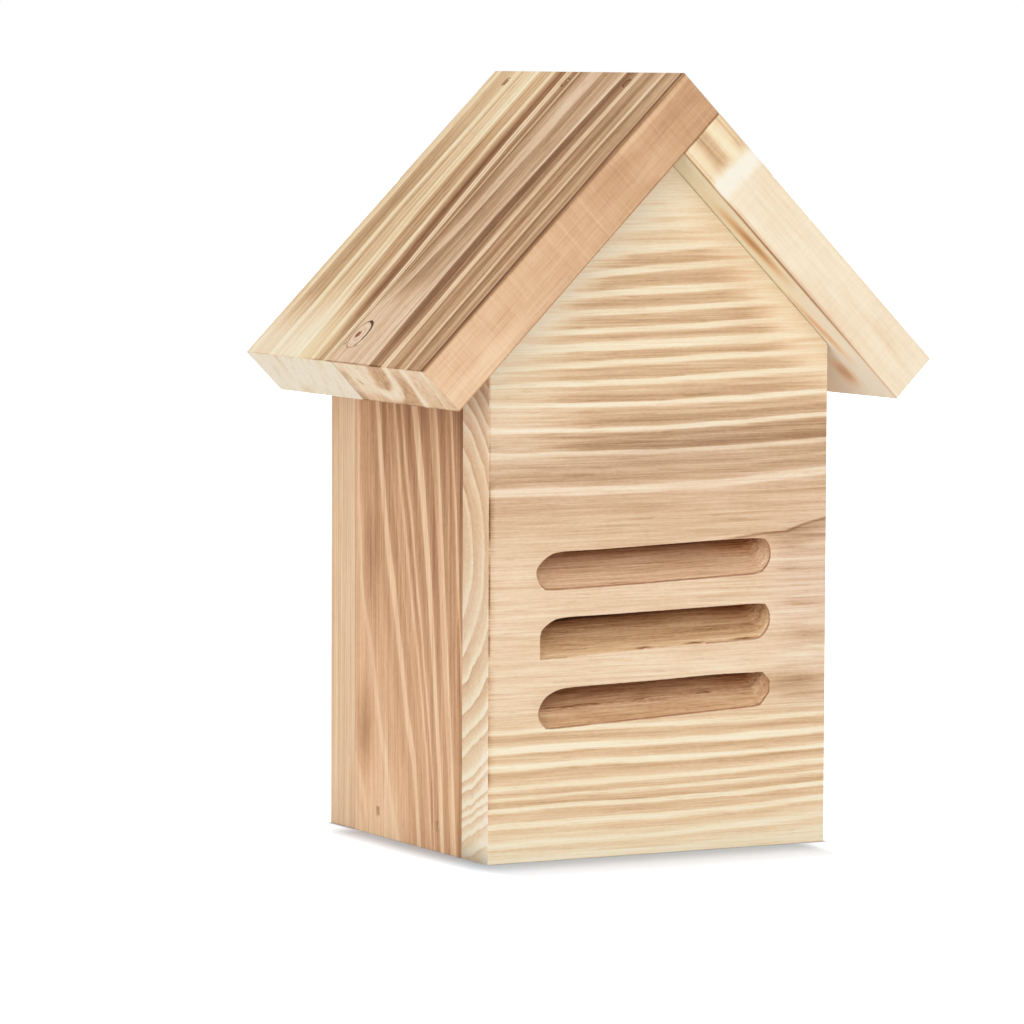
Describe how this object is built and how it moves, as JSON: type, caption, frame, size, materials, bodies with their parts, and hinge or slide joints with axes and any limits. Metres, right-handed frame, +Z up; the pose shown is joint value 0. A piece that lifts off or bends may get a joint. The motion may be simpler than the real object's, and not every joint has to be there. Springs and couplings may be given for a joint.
{
  "type": "ladybug house",
  "caption": "Gabled softwood house for ladybugs with entry slots that rise inwards, lapped square-cut roof boards and a swinging wire hanger at the back.",
  "frame": {"origin": "on the ground, at the centre of the overall footprint", "axes": "+Z up to the ridge, the slotted front faces -Y, the ridge runs along Y, +X to the viewer's right from the front"},
  "size_m": [0.17, 0.12, 0.23],
  "materials": {
    "front_wood": "lightly flamed bare softwood, horizontal grain",
    "back_wood": "lightly flamed bare softwood, upright grain",
    "side_wood": "flamed bare softwood, upright grain",
    "floor_wood": "bare softwood",
    "left_roof_wood": "flamed bare softwood, grain down the slope",
    "right_roof_wood": "bare softwood, grain down the slope",
    "brad_steel": "dull coated wire",
    "zinc_steel": "bright zinc plate"
  },
  "bodies": {
    "house": {"front_panel": "front_wood", "back_panel": "back_wood", "left_side": "side_wood", "right_side": "side_wood", "floor_board": "floor_wood", "left_roof_board": "left_roof_wood", "right_roof_board": "right_roof_wood", "ridge_brads": "brad_steel", "left_floor_brads": "brad_steel", "right_floor_brads": "brad_steel", "back_brads": "brad_steel", "hanger_strap": "zinc_steel", "hanger_screw": "zinc_steel"},
    "ring": {"hanger_ring": "zinc_steel"}
  },
  "joints": [
    {"name": "ring_swing", "type": "hinge", "parent": "house", "child": "ring", "pos_m": [0, 0.0581, 0.17567], "axis": [1, 0, 0], "range_deg": [0, 180]}
  ]
}
